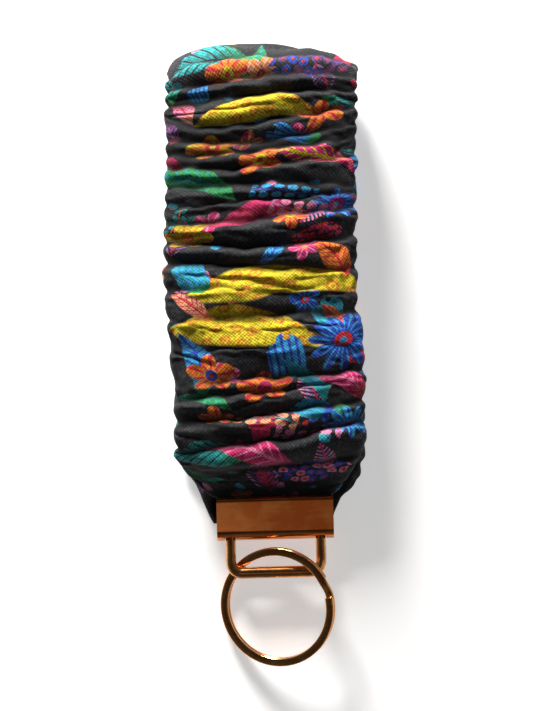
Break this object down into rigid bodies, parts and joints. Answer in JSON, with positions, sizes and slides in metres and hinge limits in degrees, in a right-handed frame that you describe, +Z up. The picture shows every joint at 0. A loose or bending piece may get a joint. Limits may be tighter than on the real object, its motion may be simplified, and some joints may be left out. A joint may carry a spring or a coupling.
{
  "type": "wristlet keychain",
  "caption": "Gathered fabric wrist loop on an elastic band, crimped in a metal clamp that carries a swinging wire loop and a split ring.",
  "frame": {"origin": "on the surface that the keychain lies on, below the middle of its bounding box", "axes": "+X across the strap, +Y from the split ring to the strap's fold, +Z up through both layers of the strap"},
  "size_m": [0.05, 0.1704, 0.0234],
  "materials": {
    "printed_cotton": "black plain-weave cotton with a bright tropical print, gathered",
    "woven_elastic": "woven white elastic",
    "black_thread": "spun polyester sewing thread",
    "rose_gold_plate": "bright rose-gold plated sheet, lightly scratched",
    "rose_gold_wire": "bright rose-gold plated wire, worn to yellow on its edges"
  },
  "bodies": {
    "strap": {"fabric_sleeve": "printed_cotton", "elastic_band": "woven_elastic", "seam_thread": "black_thread", "clamp": "rose_gold_plate"},
    "wire_loop": {"wire_loop": "rose_gold_wire"},
    "split_ring": {"split_ring": "rose_gold_wire"}
  },
  "joints": [
    {"name": "loop_swing", "type": "hinge", "parent": "strap", "child": "wire_loop", "pos_m": [0, -0.0479, 0.0037], "axis": [1, 0, 0], "range_deg": [-20, 45]},
    {"name": "ring_swing", "type": "hinge", "parent": "wire_loop", "child": "split_ring", "pos_m": [0, -0.05945, 0.00625], "axis": [1, 0, 0], "range_deg": [-36, 8]}
  ]
}
